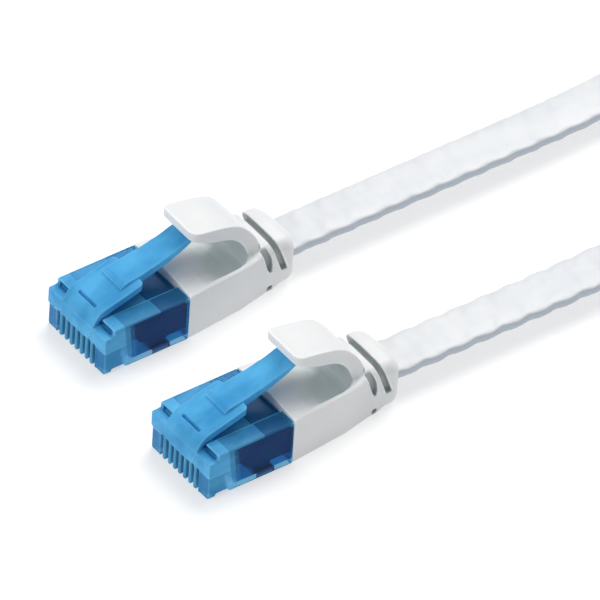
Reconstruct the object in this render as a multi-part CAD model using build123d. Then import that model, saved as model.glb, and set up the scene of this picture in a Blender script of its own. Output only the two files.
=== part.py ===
from build123d import *
import os
from math import cos, hypot, pi, radians, sin, tan

# Flat ethernet patch cable with an 8P8C plug at each end, in millimetres.
# +Z is up, the plugs' noses point along -Y, and the origin is under the middle of the two plugs.
# Each plug is drawn in its own frame first: X across, Y from the nose to the cable, Z from its underside.

# Plug housing
HOUSING_W = 11.68
HOUSING_H = 6.4
HOUSING_L = 12.3
HOUSING_EDGE_R = 0.25
NOSE_STEP_L = 1.3
NOSE_STEP_H = 5.3
CHANNEL_W = 6.4
CHANNEL_START = 2.3
CHANNEL_FLOOR = 5.95
FOOT_RECESS = (1.25, 3.2)
FOOT_RECESS_DEPTH = 0.4
SPIGOT_W = 10.2
SPIGOT_END = 16.5
SPIGOT_BOTTOM, SPIGOT_TOP = 0.7, 5.9
CAVITY_W, CAVITY_REAR_W = 10.6, 9.2
CAVITY_START = 4.2
CAVITY_BOTTOM, CAVITY_REAR_BOTTOM, CAVITY_TOP = 0.45, 1.2, 5.4
PITCH = 1.02
POSITIONS = 8
SLOT_W = 0.5
SLOT_L = 3.6
SLOT_H = 3.4
CHAMBER_W = 8.6
CHAMBER_START = 1.0
CHAMBER_TOP = 4.5

# Contacts, wires and the two pieces that hold the wires
CONTACT_T = 0.36
WIRE_R = 0.3
WIRE_Z = 3.95
WIRE_START = 1.2
WIRE_BEND_R = 2.0
CABLE_START = 16.0
GUIDE_START, GUIDE_END = 4.5, 6.3
MANAGER_START = 4.3
MANAGER_TOP = 5.35
MANAGER_OUTLET_TOP = 4.3
TUNNEL_W = 8.3
TUNNEL_BOTTOM, TUNNEL_TOP = 3.4, 4.5
HOLLOW_START, HOLLOW_END, HOLLOW_BOTTOM = 8.0, 14.0, 2.9
PIECE_GAP = 0.05

# Latch lever
LEVER_W = 6.1
LEVER_NARROW_W = 3.9
LEVER_SLIT_W = 3.46
LEVER_PIVOT = (1.5, 6.4)
LEVER_KNUCKLE_R = 1.0
KNUCKLE_GAP = 0.06

# Boot and its latch guard
BOOT_END = 29.6
BOOT_REAR_W = 8.2
BOOT_CROWN = 7.2
BOOT_SHOULDER = 6.2
COLLAR_START = 24.9
COLLAR_TOP = 7.0
FRONT_SLOT = [(25.3, 3.0), (25.65, 3.4), (24.9, 6.6), (24.2, 6.6)]
REAR_SLOT = [(27.9, 2.6), (26.3, 7.5), (25.5, 7.5), (27.1, 2.6)]
LOW_SLOT = (25.0, 25.8)
SLOT_INNER_X = 3.4
COLLAR_CORE_TOP = 6.2
SCOOP_W = 9.0
GUARD_W = 6.6
GUARD_PIVOT = (23.6, 7.0)
GUARD_KNUCKLE_R = 1.2

# Cable
CABLE_W, CABLE_T = 6.0, 1.5
CABLE_Z = 3.4

# Places of the two plugs
LANE = 12.325
NOSE_A, NOSE_B = -13.6, -16.2

# Hank of the length that is put away: an oval winding that stands on the cable's edge
HANK_X, HANK_Y = 7.0, 96.0
HANK_SIDE = 41.0
HANK_RADIUS = 25.0
HANK_PITCH = 2.35
HANK_TURNS = 3.54
TIE_T, TIE_W = 0.5, 4.0

# The cable's route: from plug A to the hank, and from the hank to plug B
ROUTE_A = [
    (-12.325, 2.4, 3.4),
    (-12.325, 36.0, 3.35),
    (-12.6, 66.0, 2.9),
    (-15.6, 82.0, 3.0),
    (-18.0, 96.0, 3.0),
]
ROUTE_B = [
    (23.7, 119.0, 3.0),
    (21.9, 108.0, 3.3),
    (17.6, 97.0, 5.2),
    (13.6, 85.0, 7.6),
    (12.4, 71.5, 7.7),
    (12.2, 58.5, 4.2),
    (12.3, 46.0, 3.0),
    (12.325, 22.0, 3.35),
    (12.325, -0.2, 3.4),
]

WIRE_COLOURS = [
    "white_orange",
    "orange",
    "white_green",
    "blue",
    "white_blue",
    "green",
    "white_brown",
    "brown",
]


def block(x, y, z):
    """A box between pairs of limits along X, Y and Z."""
    size = [high - low for low, high in (x, y, z)]
    centre = [(high + low) / 2 for low, high in (x, y, z)]
    return Pos(*centre) * Box(*size)


def across(width):
    return (-width / 2, width / 2)


def slab(outline, width):
    """A side outline of (Y, Z) points, as thick as width about the middle plane."""
    line = Polyline(*[(-width / 2, y, z) for y, z in outline], close=True)
    return extrude(make_face(line), amount=width, dir=(1, 0, 0))


def rod(centre, radius, width):
    """A round bar along X, about a (Y, Z) centre."""
    return Pos(0, *centre) * Rot(0, 90, 0) * Cylinder(radius, width)


def position_x(i):
    return (i - (POSITIONS - 1) / 2) * PITCH


def plug_housing():
    body = block(across(HOUSING_W), (0, HOUSING_L), (0, HOUSING_H))
    body = fillet(body.edges().filter_by(Axis.Y), HOUSING_EDGE_R)
    body += block(across(SPIGOT_W), (HOUSING_L, SPIGOT_END), (SPIGOT_BOTTOM, SPIGOT_TOP))
    body -= block(across(HOUSING_W), (0, NOSE_STEP_L), (NOSE_STEP_H, HOUSING_H))
    body -= block(across(CHANNEL_W), (CHANNEL_START, HOUSING_L), (CHANNEL_FLOOR, HOUSING_H))
    body -= rod(LEVER_PIVOT, LEVER_KNUCKLE_R + KNUCKLE_GAP, CHANNEL_W)
    body -= block(across(HOUSING_W), FOOT_RECESS, (0, FOOT_RECESS_DEPTH))
    body -= block(across(CHAMBER_W), (CHAMBER_START, CAVITY_START), (SLOT_H, CHAMBER_TOP))
    body -= block(across(CAVITY_W), (CAVITY_START, HOUSING_L), (CAVITY_BOTTOM, CAVITY_TOP))
    body -= block(across(CAVITY_REAR_W), (HOUSING_L, SPIGOT_END), (CAVITY_REAR_BOTTOM, CAVITY_TOP))
    for i in range(POSITIONS):
        x = position_x(i)
        body -= block((x - SLOT_W / 2, x + SLOT_W / 2), (0, SLOT_L), (0, SLOT_H))
    return body


def contact(i):
    """A flat blade: its lower front corner is the rounded wiping edge, and two teeth pierce the wire."""
    outline = [
        (0.45, 1.0),
        (0.62, 0.62),
        (1.0, 0.45),
        (3.3, 0.45),
        (3.3, 3.15),
        (2.95, 3.15),
        (2.8, 4.1),
        (2.65, 3.15),
        (1.95, 3.15),
        (1.8, 4.1),
        (1.65, 3.15),
        (0.45, 3.15),
    ]
    return Pos(position_x(i), 0, 0) * slab(outline, CONTACT_T)


def wire(i):
    """One wire, straight under its contact, then drawn in to its place in the flat cable."""
    x = position_x(i)
    end_x = x * (CABLE_W - 1.2) / (POSITIONS * PITCH)
    path = FilletPolyline(
        (x, WIRE_START, WIRE_Z),
        (x, GUIDE_END + 1.2, WIRE_Z),
        (end_x, CABLE_START - 2.6, CABLE_Z + 0.1),
        (end_x, CABLE_START, CABLE_Z + 0.1),
        radius=WIRE_BEND_R,
    )
    start = Plane(origin=(x, WIRE_START, WIRE_Z), z_dir=(0, 1, 0))
    return sweep(start * Circle(WIRE_R), path=path)


def wire_guide():
    """The load bar that keeps the wires at the contacts' pitch."""
    height = (TUNNEL_BOTTOM + PIECE_GAP, TUNNEL_TOP - PIECE_GAP)
    bar = block(across(TUNNEL_W - 2 * PIECE_GAP), (GUIDE_START, GUIDE_END), height)
    for i in range(POSITIONS):
        hole = Pos(position_x(i), (GUIDE_START + GUIDE_END) / 2, WIRE_Z) * Rot(90, 0, 0)
        bar -= hole * Cylinder(WIRE_R + 0.06, GUIDE_END - GUIDE_START)
    return bar


def pair_manager():
    """The dark insert that fills the rear of the housing, steps in where the boot begins and leads the wires in."""
    front = [
        (MANAGER_START, 3.2),
        (MANAGER_START, 4.9),
        (8.3, 4.9),
        (8.6, MANAGER_TOP),
        (HOUSING_L - PIECE_GAP, MANAGER_TOP),
        (HOUSING_L - PIECE_GAP, 1.6),
        (9.4, 1.6),
        (9.2, CAVITY_BOTTOM + PIECE_GAP),
        (7.4, CAVITY_BOTTOM + PIECE_GAP),
        (6.3, 2.0),
        (5.4, 2.5),
        (5.4, 3.2),
    ]
    body = slab(front, CAVITY_W - 2 * PIECE_GAP)
    height = (CAVITY_REAR_BOTTOM + PIECE_GAP, MANAGER_TOP)
    body += block(across(CAVITY_REAR_W - 2 * PIECE_GAP), (HOUSING_L - 1, CABLE_START), height)
    body -= block(across(TUNNEL_W), (MANAGER_START, HOLLOW_START), (TUNNEL_BOTTOM, TUNNEL_TOP))
    body -= block(across(TUNNEL_W), (HOLLOW_START, HOLLOW_END), (HOLLOW_BOTTOM, TUNNEL_TOP))
    body -= block(across(CABLE_W), (HOLLOW_END, CABLE_START), (HOLLOW_BOTTOM, MANAGER_OUTLET_TOP))
    return body


def latch_lever():
    """The release lever: a knuckle at the nose, a wide root, shoulders that lock, and a narrow tail."""
    y0, z0 = LEVER_PIVOT
    root = slab([(y0, z0 + LEVER_KNUCKLE_R), (7.4, 9.1), (7.4, 8.0), (2.6, 6.6), (y0, z0)], LEVER_W)
    root += rod(LEVER_PIVOT, LEVER_KNUCKLE_R, LEVER_W)
    root -= block(across(LEVER_SLIT_W), (1.45, 1.85), (z0 + 0.6, z0 + 1.2))
    tail = [
        (5.1, 8.42),
        (7.4, 9.25),
        (11.3, 10.2),
        (15.0, 11.3),
        (15.25, 11.05),
        (15.2, 10.4),
        (11.4, 9.1),
        (6.5, 7.74),
        (5.1, 7.6),
    ]
    return root + slab(tail, LEVER_NARROW_W)


def boot_shell():
    """The moulded boot: crowned body, scoop under the guard, tapered waist and slotted collar."""
    half, rear = HOUSING_W / 2, BOOT_REAR_W / 2
    plan = [(half, HOUSING_L), (5.0, 20.6), (4.55, 22.6), (rear, COLLAR_START), (rear, BOOT_END)]
    plan += [(-x, y) for x, y in reversed(plan)]
    body = extrude(make_face(Polyline(*plan, close=True)), amount=BOOT_CROWN)
    side = [
        (HOUSING_L, 0),
        (HOUSING_L, BOOT_CROWN),
        (22.6, BOOT_CROWN),
        (COLLAR_START, COLLAR_TOP),
        (BOOT_END - 0.9, COLLAR_TOP),
        (BOOT_END, COLLAR_TOP - 0.9),
        (BOOT_END, 1.0),
        (BOOT_END - 0.8, 0.3),
        (COLLAR_START, 0.3),
        (23.0, 0),
    ]
    body = body & slab(side, HOUSING_W)
    crown = make_face(
        Line((-half, HOUSING_L, 0), (half, HOUSING_L, 0))
        + Line((half, HOUSING_L, 0), (half, HOUSING_L, BOOT_SHOULDER))
        + ThreePointArc(
            (half, HOUSING_L, BOOT_SHOULDER), (0, HOUSING_L, BOOT_CROWN), (-half, HOUSING_L, BOOT_SHOULDER)
        )
        + Line((-half, HOUSING_L, BOOT_SHOULDER), (-half, HOUSING_L, 0))
    )
    body = body & extrude(crown, amount=BOOT_END - HOUSING_L, dir=(0, 1, 0))
    scoop = slab([(15.2, 8.0), (15.2, 7.1), (18.2, 5.9), (20.4, 5.3), (22.2, 5.3), (22.6, 6.2), (22.6, 8.0)], SCOOP_W)
    body -= scoop
    body -= rod(GUARD_PIVOT, GUARD_KNUCKLE_R + KNUCKLE_GAP, GUARD_W + 0.3)
    socket = (SPIGOT_BOTTOM - PIECE_GAP, SPIGOT_TOP + PIECE_GAP)
    body -= block(across(SPIGOT_W + 2 * PIECE_GAP), (HOUSING_L, SPIGOT_END + PIECE_GAP), socket)
    body -= block(across(CABLE_W + 2 * PIECE_GAP), (SPIGOT_END, BOOT_END), (CABLE_Z - 0.85, CABLE_Z + 0.8))
    for side_sign in (-1, 1):
        x = tuple(sorted((side_sign * SLOT_INNER_X, side_sign * half)))
        body -= Pos(side_sign * (SLOT_INNER_X + half) / 2, 0, 0) * slab(FRONT_SLOT, half - SLOT_INNER_X)
        body -= block(x, LOW_SLOT, (0.2, 0.9))
    core = block(across(2 * SLOT_INNER_X), (COLLAR_START, BOOT_END), (0, COLLAR_CORE_TOP))
    body -= slab(REAR_SLOT, HOUSING_W) - core
    return body


def latch_guard():
    """The curved guard over the lever's tip, on the knuckle that the boot flexes about."""
    outline = [
        (14.2, 13.5),
        (17.3, 12.8),
        (20.4, 12.0),
        (22.5, 10.5),
        (24.1, 8.2),
        (24.3, 7.5),
        (22.6, 6.9),
        (21.7, 8.5),
        (19.9, 10.1),
        (16.2, 11.3),
        (14.2, 12.3),
    ]
    hood = slab(outline, GUARD_W)
    return hood + rod(GUARD_PIVOT, GUARD_KNUCKLE_R, GUARD_W)


def corner_radii(points):
    """For each corner of a route, the largest arc that its two runs allow."""
    radii = []
    for before, corner, after in zip(points, points[1:], points[2:]):
        run_in, run_out = Vector(*corner) - Vector(*before), Vector(*after) - Vector(*corner)
        turn = radians(run_in.get_angle(run_out))
        radii.append(0.45 * min(run_in.length, run_out.length) / tan(turn / 2))
    return radii


def cable_lead(points, name):
    """A stretch of the flat cable along its route, as straight runs joined by tangent arcs."""
    radii = corner_radii(points)
    path = FilletPolyline(*points, radius=radii)
    start = Vector(*points[0])
    along = (Vector(*points[1]) - start).normalized()
    section = Plane(origin=start, x_dir=(along.Y, -along.X, 0), z_dir=along) * Rectangle(CABLE_W, CABLE_T)
    lead = sweep(section, path=path)
    expected = CABLE_W * CABLE_T * path.length
    print(name, "arc radii", [round(r) for r in radii], "length", round(path.length, 1))
    print(name, "volume", round(lead.volume, 1), "section times length", round(expected, 1))
    return lead, path.length


def hank_point(turn):
    """A point of the winding, by turns counted from the near end of its left side."""
    arc = pi * HANK_RADIUS
    radius = HANK_RADIUS - HANK_PITCH * turn
    along = (turn % 1) * 2 * (HANK_SIDE + arc)
    far = HANK_Y + HANK_SIDE
    if along < HANK_SIDE:
        return HANK_X - radius, HANK_Y + along
    if along < HANK_SIDE + arc:
        angle = pi * (along - HANK_SIDE) / arc
        return HANK_X - radius * cos(angle), far + radius * sin(angle)
    if along < 2 * HANK_SIDE + arc:
        return HANK_X + radius, far - (along - HANK_SIDE - arc)
    angle = pi * (along - 2 * HANK_SIDE - arc) / arc
    return HANK_X + radius * cos(angle), HANK_Y - radius * sin(angle)


def winding_length():
    points = [hank_point(HANK_TURNS * k / 800) for k in range(801)]
    return sum(hypot(b[0] - a[0], b[1] - a[1]) for a, b in zip(points, points[1:]))


def oval(radius, height):
    """A flat-bottomed oval column about the winding's middle line."""
    length = HANK_SIDE + 2 * radius
    face = Pos(HANK_X, HANK_Y + HANK_SIDE / 2) * Rot(0, 0, 90) * SlotOverall(length, 2 * radius)
    return extrude(face, amount=height)


HANK_OUTER = HANK_RADIUS + CABLE_T / 2
HANK_INNER = HANK_RADIUS - HANK_PITCH * HANK_TURNS - CABLE_T / 2
TIE_Y = HANK_Y + 30.0


def cable_hank():
    """The space that the winding takes, with a shallow groove under each tie."""
    ring = oval(HANK_OUTER, CABLE_W) - oval(HANK_INNER, CABLE_W)
    groove = block(
        (HANK_X - HANK_OUTER - 1, HANK_X + HANK_OUTER + 1),
        (TIE_Y - TIE_W / 2, TIE_Y + TIE_W / 2),
        (0, TIE_T),
    )
    return ring - groove


def hank_tie():
    """Two twist ties, one round each side of the hank, with their twisted ends on top."""
    ties = []
    for side_sign in (-1, 1):
        inner, outer = side_sign * HANK_INNER, side_sign * HANK_OUTER
        x = [HANK_X + v for v in sorted((inner, outer))]
        y = (TIE_Y - TIE_W / 2, TIE_Y + TIE_W / 2)
        band = block((x[0] - TIE_T, x[1] + TIE_T), y, (0, CABLE_W + TIE_T))
        band -= block(x, y, (TIE_T, CABLE_W))
        middle = (x[0] + x[1]) / 2
        band += block((middle - 0.8, middle + 0.8), (TIE_Y - 1, TIE_Y + 1), (CABLE_W, CABLE_W + 2.4))
        ties.append(band)
    return Compound(children=ties)


def save(name, shape, place=Location()):
    export_step(place * shape, os.path.join("parts", name + ".step"))


os.makedirs("parts", exist_ok=True)

for letter, lane, nose in (("a", -LANE, NOSE_A), ("b", LANE, NOSE_B)):
    place = Pos(lane, nose, 0)
    save(f"plug_housing_{letter}", plug_housing(), place)
    save(f"latch_lever_{letter}", latch_lever(), place)
    save(f"wire_guide_{letter}", wire_guide(), place)
    save(f"pair_manager_{letter}", pair_manager(), place)
    save(f"boot_shell_{letter}", boot_shell(), place)
    save(f"latch_guard_{letter}", latch_guard(), place)
    for i, colour in enumerate(WIRE_COLOURS):
        save(f"contact_{letter}{i + 1}", contact(i), place)
        save(f"wire_{letter}{i + 1}_{colour}", wire(i), place)

lead_a, length_a = cable_lead(ROUTE_A, "cable_lead_a")
lead_b, length_b = cable_lead(ROUTE_B[::-1], "cable_lead_b")
save("cable_lead_a", lead_a)
save("cable_lead_b", lead_b)
save("cable_hank", cable_hank())
save("hank_tie", hank_tie())
print("cable length", round(length_a + winding_length() + length_b, 1))
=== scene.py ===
import math

import bmesh
import bpy
import numpy as np
from mathutils import Matrix, Vector


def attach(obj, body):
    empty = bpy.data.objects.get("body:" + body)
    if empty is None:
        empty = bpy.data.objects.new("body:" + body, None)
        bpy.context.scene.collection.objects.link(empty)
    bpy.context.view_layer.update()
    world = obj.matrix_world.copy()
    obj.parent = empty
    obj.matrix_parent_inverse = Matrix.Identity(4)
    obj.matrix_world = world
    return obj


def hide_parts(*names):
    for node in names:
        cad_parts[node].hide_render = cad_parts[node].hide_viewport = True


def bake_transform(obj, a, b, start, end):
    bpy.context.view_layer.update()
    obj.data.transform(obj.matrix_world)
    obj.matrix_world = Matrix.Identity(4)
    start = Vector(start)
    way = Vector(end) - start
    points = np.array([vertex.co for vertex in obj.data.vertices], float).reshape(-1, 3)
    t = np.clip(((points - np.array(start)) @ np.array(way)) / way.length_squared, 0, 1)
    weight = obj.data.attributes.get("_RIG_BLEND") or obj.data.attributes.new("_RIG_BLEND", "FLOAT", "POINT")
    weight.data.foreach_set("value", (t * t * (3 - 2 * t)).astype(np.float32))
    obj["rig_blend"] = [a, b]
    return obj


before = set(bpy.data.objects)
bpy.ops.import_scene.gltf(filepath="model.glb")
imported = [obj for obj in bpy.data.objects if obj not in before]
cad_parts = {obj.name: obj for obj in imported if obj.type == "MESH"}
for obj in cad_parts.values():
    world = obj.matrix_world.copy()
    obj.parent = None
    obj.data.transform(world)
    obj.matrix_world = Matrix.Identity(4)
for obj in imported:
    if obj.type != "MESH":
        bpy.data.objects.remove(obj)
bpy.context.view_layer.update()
MM = 0.001

# The same places as in the CAD model, in metres.
PLUGS = {"a": (-0.012325, -0.0136), "b": (0.012325, -0.0162)}  # middle X and nose Y of each plug
CABLE_W, CABLE_T = 0.0060, 0.0015
ROUTE_A = [
    (-0.012325, 0.0024, 0.0034),
    (-0.012325, 0.0360, 0.00335),
    (-0.012600, 0.0660, 0.0029),
    (-0.015600, 0.0820, 0.0030),
]
ROUTE_B = [
    (0.023700, 0.1190, 0.0030),
    (0.021900, 0.1080, 0.0033),
    (0.017600, 0.0970, 0.0052),
    (0.013600, 0.0850, 0.0076),
    (0.012400, 0.0715, 0.0077),
    (0.012200, 0.0585, 0.0042),
    (0.012300, 0.0460, 0.0030),
    (0.012325, 0.0220, 0.00335),
    (0.012325, -0.0002, 0.0034),
]
HANK_X, HANK_Y = 0.0070, 0.0960
HANK_SIDE, HANK_RADIUS, HANK_PITCH = 0.0410, 0.0250, 0.00235
HANK_TURNS, POINTS_PER_TURN = 3.54, 24
HANK_Z = 0.00312
TIE_Y = 0.1260
TIE_LIFT, TIE_LIFT_REACH = 0.0005, 0.012  # the ties' bands raise the turns a little, this far to each side


# ---------------------------------------------------------------- camera

def make_camera():
    """A long lens, looking down and along the plugs from their right front, with a slight roll."""
    right = Vector((0.5857, 0.8093, 0.0475))
    back = Vector((0.5935, -0.4679, 0.6546)).normalized()
    right = (right - back * right.dot(back)).normalized()
    up = back.cross(right)
    data = bpy.data.cameras.new("camera")
    data.lens, data.sensor_width = 1200, 36
    data.clip_start, data.clip_end = 0.1, 50
    view_width = 0.07073
    target = Vector((0.00209, 0.00836, 0.00792))
    place = target + back * view_width * data.lens / data.sensor_width
    camera = bpy.data.objects.new("camera", data)
    camera.matrix_world = Matrix([(right[i], up[i], back[i], place[i]) for i in range(3)] + [(0, 0, 0, 1)])
    bpy.context.scene.collection.objects.link(camera)
    bpy.context.scene.camera = camera


# ---------------------------------------------------------------- helpers

def new_object(name, verts, faces, smooth=True):
    """A mesh object in the scene."""
    mesh = bpy.data.meshes.new(name)
    mesh.from_pydata([tuple(v) for v in verts], [], faces)
    mesh.polygons.foreach_set("use_smooth", [smooth] * len(mesh.polygons))
    obj = bpy.data.objects.new(name, mesh)
    bpy.context.scene.collection.objects.link(obj)
    return obj


def smoothstep(value, low, high):
    """0 up to low, 1 from high on, and smooth between them."""
    t = min(max((value - low) / (high - low), 0.0), 1.0)
    return t * t * (3 - 2 * t)


def plateau(value, rise, fall):
    """0, then 1 between the stretches rise and fall, then 0 again."""
    return smoothstep(value, *rise) * (1 - smoothstep(value, *fall))


def boxy(value, power):
    """A sine or cosine pushed outwards, which turns a circle into a rounded rectangle."""
    return math.copysign(abs(value) ** power, value)


def along(table, y):
    """The value of a table of (Y, value) pairs at y."""
    return float(np.interp(y, [a for a, _ in table], [b for _, b in table]))


def loft_faces(rings, n, first=0):
    """The side faces and two end caps of a loft of rings with n points each, from vertex number first."""
    faces = []
    for r in range(rings - 1):
        for k in range(n):
            a, b = first + r * n + k, first + r * n + (k + 1) % n
            faces.append((a, a + n, b + n, b))
    last = first + (rings - 1) * n
    return faces + [tuple(range(first, first + n)), tuple(reversed(range(last, last + n)))]


def clean_normals(obj):
    """Turns every face of a closed mesh outwards."""
    bm = bmesh.new()
    bm.from_mesh(obj.data)
    bmesh.ops.recalc_face_normals(bm, faces=bm.faces)
    bm.to_mesh(obj.data)
    bm.free()


def use(obj, *materials):
    """Gives the object these materials and no others."""
    obj.data.materials.clear()
    for material in materials:
        obj.data.materials.append(material)


# ---------------------------------------------------------------- cable

def hank_point(turn):
    """A point of the oval winding, by turns counted from the near end of its left side."""
    arc = math.pi * HANK_RADIUS
    radius = HANK_RADIUS - HANK_PITCH * turn
    passed = (turn % 1) * 2 * (HANK_SIDE + arc)
    far = HANK_Y + HANK_SIDE
    if passed < HANK_SIDE:
        x, y = -radius, HANK_Y + passed
    elif passed < HANK_SIDE + arc:
        angle = math.pi * (passed - HANK_SIDE) / arc
        x, y = -radius * math.cos(angle), far + radius * math.sin(angle)
    elif passed < 2 * HANK_SIDE + arc:
        x, y = radius, far - (passed - HANK_SIDE - arc)
    else:
        angle = math.pi * (passed - 2 * HANK_SIDE - arc) / arc
        x, y = radius * math.cos(angle), HANK_Y - radius * math.sin(angle)
    lift = TIE_LIFT * math.exp(-(((y - TIE_Y) / TIE_LIFT_REACH) ** 2))
    return (HANK_X + x, y, HANK_Z + lift)


def cable_route():
    """The cable's points from plug a, round the hank and on to plug b."""
    turns = [hank_point(k / POINTS_PER_TURN) for k in range(int(HANK_TURNS * POINTS_PER_TURN) + 1)]
    return ROUTE_A + turns + ROUTE_B


def route_line(points):
    """The smooth line of a route: points read from its NURBS spline."""
    curve = bpy.data.curves.new("cable_route", "CURVE")
    curve.dimensions = "3D"
    spline = curve.splines.new("NURBS")
    spline.points.add(len(points) - 1)
    for point, place in zip(spline.points, points):
        point.co = (*place, 1.0)
    spline.order_u = 3
    spline.use_endpoint_u = True
    spline.resolution_u = 12
    holder = bpy.data.objects.new("cable_route", curve)
    mesh = bpy.data.meshes.new_from_object(holder)
    line = np.array([v.co for v in mesh.vertices])
    bpy.data.objects.remove(holder)
    bpy.data.curves.remove(curve)
    bpy.data.meshes.remove(mesh)
    return line


def evenly(line, step):
    """The line with its points a step apart, after how far along it each of them is."""
    lengths = np.concatenate([[0], np.cumsum(np.linalg.norm(np.diff(line, axis=0), axis=1))])
    places = np.linspace(0, lengths[-1], int(round(lengths[-1] / step)) + 1)
    return places, np.column_stack([np.interp(places, lengths, line[:, k]) for k in range(3)])


LEAD_B = 0.15  # metres of cable from the hank to plug b
TURN_A, TURN_B = (0.067, 0.093), (0.088, 0.116)  # the stretches of Y where the two leads turn onto their edge


def cable_roll(place, y, total):
    """How far the cable is turned onto its edge: flat at both plugs, on edge in the hank."""
    if place < total / 2:
        return math.radians(90) * smoothstep(y, *TURN_A)
    if place > total - LEAD_B:
        return math.radians(90) * smoothstep(y, *TURN_B)
    return math.radians(90)


CABLE_STEP, CABLE_SAMPLES = 0.00042, 28
CABLE_CORNER = 0.42  # the power that gives the section its round corners
RIPPLE = 0.00388  # the lay of the twisted pairs under the jacket
SCALLOP, SCALLOP_MEAN, SCALLOP_SHIFT = 0.00019, 0.64, 0.9
GROOVE, FINE_GROOVE, EDGE_WAVE = 0.00007, 0.00004, 0.00006
GROOVE_SLANT = 5.2  # radians that a groove runs on from one edge to the other
EDGE_ZONE = 0.62  # the share of the half width from which the scallops begin
SIDE_SHADE_SPAN = (0.86, 0.97)  # the share, as a cosine, over which the narrow sides' painted shade begins
SWELL, SWAY = 410, 230  # radians per metre at which the grooves change depth and wander


def cable_section(place):
    """The jacket's outline at a place along the cable, as (across, up) offsets: a flat band whose
    edges are scalloped and whose faces are gently grooved where the twisted pairs turn."""
    half_w, half_t = CABLE_W / 2, CABLE_T / 2
    phase = 2 * math.pi * place / RIPPLE
    outline = []
    for k in range(CABLE_SAMPLES):
        angle = 2 * math.pi * (k + 0.5) / CABLE_SAMPLES
        c, s = math.cos(angle), math.sin(angle)
        across = half_w * boxy(c, CABLE_CORNER)
        up = half_t * boxy(s, CABLE_CORNER)
        side = 1 if across > 0 else -1
        lobe = abs(math.sin(phase / 2 + (0.0 if side > 0 else SCALLOP_SHIFT)))
        near_edge = smoothstep(abs(across), half_w * EDGE_ZONE, half_w)
        across += side * SCALLOP * (lobe - SCALLOP_MEAN) * near_edge
        diagonal = phase + across / CABLE_W * GROOVE_SLANT
        groove = GROOVE * math.sin(diagonal) * (0.65 + 0.35 * math.sin(SWELL * place))
        groove += FINE_GROOVE * math.sin(2 * diagonal + 1.0 + 2 * math.sin(SWAY * place))
        up += math.copysign(1, s) * (groove * (1 - 0.5 * near_edge))
        up -= EDGE_WAVE * near_edge * math.cos(phase + side)
        outline.append((across, up))
    return outline


def mark_side_shade(obj, rings):
    """A 0 to 1 mask of painted shade that is high on the cable's narrow sides."""
    n = len(obj.data.vertices) // rings
    values = np.zeros(rings * n)
    for k in range(n):
        c = math.cos(2 * math.pi * (k + 0.5) / n)
        values[k::n] = smoothstep(abs(c), *SIDE_SHADE_SPAN)
    obj.data.attributes.new("edge", "FLOAT", "POINT").data.foreach_set("value", values)


def make_cable(material):
    """The flat cable as a mesh along its route, with that line and its length."""
    line = route_line(cable_route())
    places, line = evenly(line, CABLE_STEP)
    tangents = np.gradient(line, axis=0)
    tangents /= np.linalg.norm(tangents, axis=1)[:, None]
    verts, total = [], places[-1]
    for place, centre, tangent in zip(places, line, tangents):
        t = Vector(tangent)
        side = t.cross(Vector((0, 0, 1))).normalized()
        up = side.cross(t)
        roll = cable_roll(place, centre[1], total)
        across_dir = side * math.cos(roll) + up * math.sin(roll)
        up_dir = up * math.cos(roll) - side * math.sin(roll)
        for across, lift in cable_section(place):
            verts.append(Vector(centre) + across_dir * across + up_dir * lift)
    cable = new_object("flat_cable", verts, loft_faces(len(line), CABLE_SAMPLES))
    clean_normals(cable)
    mark_side_shade(cable, len(line))
    use(cable, material)
    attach(cable, "root")
    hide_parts("cable_lead_a", "cable_lead_b", "cable_hank")
    return cable, line, total


# ---------------------------------------------------------------- mesh tools

def finished(obj):
    """Applies the object's modifiers to its mesh."""
    bpy.context.view_layer.update()
    mesh = bpy.data.meshes.new_from_object(obj.evaluated_get(bpy.context.evaluated_depsgraph_get()))
    obj.modifiers.clear()
    old = obj.data
    obj.data = mesh
    bpy.data.meshes.remove(old)
    obj.data.name = obj.name


def set_smooth(obj, sharp_degrees=None):
    """Smooth shading, with the edges sharper than an angle left sharp."""
    obj.data.polygons.foreach_set("use_smooth", [True] * len(obj.data.polygons))
    if sharp_degrees is not None:
        obj.data.set_sharp_from_angle(angle=math.radians(sharp_degrees))
    obj.data.update()


def bevelled(obj, width_mm):
    """Rounds the object's edges."""
    modifier = obj.modifiers.new("bevel", "BEVEL")
    modifier.width, modifier.segments = width_mm * MM, 2
    modifier.limit_method, modifier.angle_limit = "ANGLE", math.radians(32)
    modifier.use_clamp_overlap = True
    finished(obj)
    set_smooth(obj, 40)


def add_smooth(obj, rounds):
    ease = obj.modifiers.new("ease", "SMOOTH")
    ease.factor, ease.iterations = 0.5, rounds
    return ease


def eased(obj, voxel_mm, rounds):
    """Makes the object one even skin with rounded edges."""
    remesh = obj.modifiers.new("fuse", "REMESH")
    remesh.mode, remesh.voxel_size, remesh.adaptivity = "VOXEL", voxel_mm * MM, 0.0
    add_smooth(obj, rounds)
    finished(obj)
    set_smooth(obj)


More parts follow.
